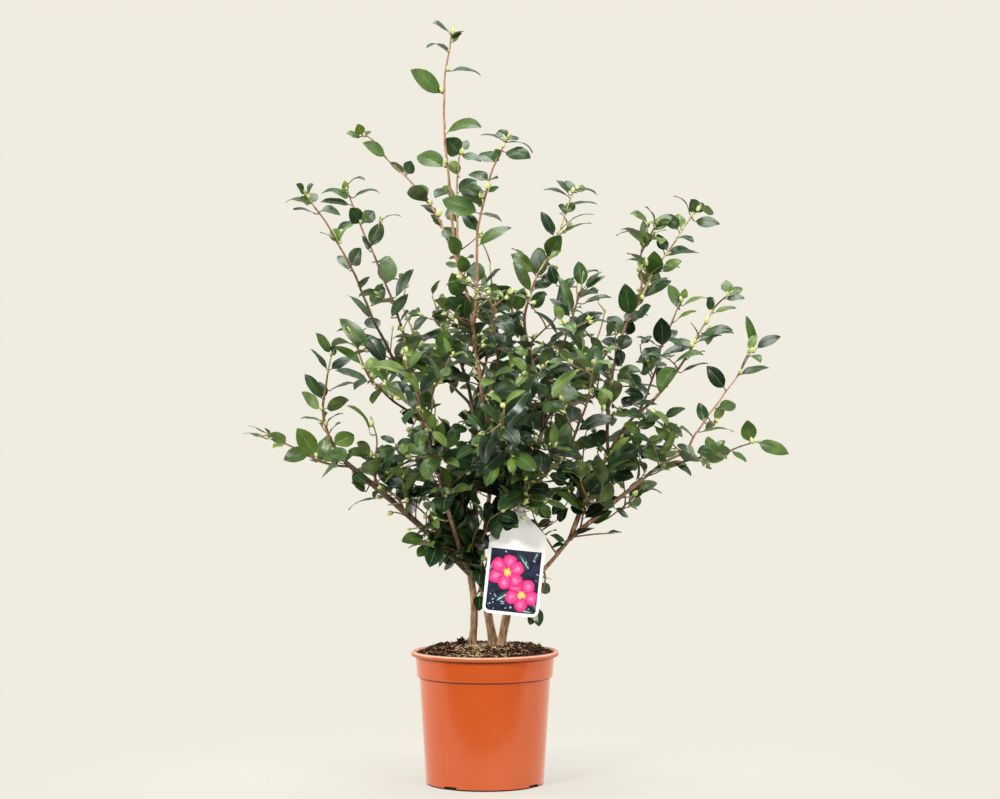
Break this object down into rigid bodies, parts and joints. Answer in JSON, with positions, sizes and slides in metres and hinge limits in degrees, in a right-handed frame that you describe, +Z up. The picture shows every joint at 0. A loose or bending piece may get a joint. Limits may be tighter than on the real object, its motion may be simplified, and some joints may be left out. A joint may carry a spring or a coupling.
{
  "type": "camellia shrub",
  "caption": "Young camellia shrub with slender forked stems, open leafy boughs and a hanging picture label, growing in a round tapered nursery pot.",
  "frame": {"origin": "centre of the pot's flat underside, where the plant stands", "axes": "+Z up, along the plant's height; -Y towards the side that carries the label; +X to the right as seen from that side"},
  "size_m": [0.682, 0.5546, 0.978],
  "materials": {
    "pot": "satin terracotta-coloured moulded plastic",
    "compost": "rough, crumbly",
    "bark": "fine-grained matte bark",
    "young_bark": "smooth reddish-brown bark",
    "leaf": "glossy, leathery",
    "card": "printed satin card"
  },
  "bodies": {
    "root": {"bough_back": "young_bark", "bough_centre": "young_bark", "bough_front": "young_bark", "bough_front_left": "young_bark", "bough_leader": "young_bark", "bough_left_low": "young_bark", "bough_left_upper": "young_bark", "bough_middle": "young_bark", "bough_right_low": "young_bark", "bough_right_out": "young_bark", "bough_right_rise": "young_bark", "crown_back_lower": "leaf", "crown_back_upper": "leaf", "crown_front_lower": "leaf", "crown_front_upper": "leaf", "crown_left": "leaf", "crown_low_left": "leaf", "crown_low_middle": "leaf", "crown_low_right": "leaf", "crown_middle": "leaf", "crown_right": "leaf", "crown_top": "leaf", "left_stem": "bark", "middle_stem": "bark", "plant_label": "card", "pot": "pot", "right_stem": "bark", "skirt_left": "leaf", "soil": "compost", "spray_back": "leaf", "spray_back_left": "leaf", "spray_back_right": "leaf", "spray_back_top": "leaf", "spray_centre_right": "leaf", "spray_centre_top": "leaf", "spray_far_left": "leaf", "spray_front": "leaf", "spray_front_left": "leaf", "spray_front_right": "leaf", "spray_front_top": "leaf", "spray_leader": "leaf", "spray_left": "leaf", "spray_left_inner": "leaf", "spray_left_middle": "leaf", "spray_left_outer": "leaf", "spray_right": "leaf", "spray_right_back": "leaf", "spray_right_low": "leaf", "spray_right_top": "leaf", "spray_right_upper": "leaf", "spray_top_left": "leaf", "spray_top_middle": "leaf", "spray_top_right": "leaf"}
  },
  "joints": []
}
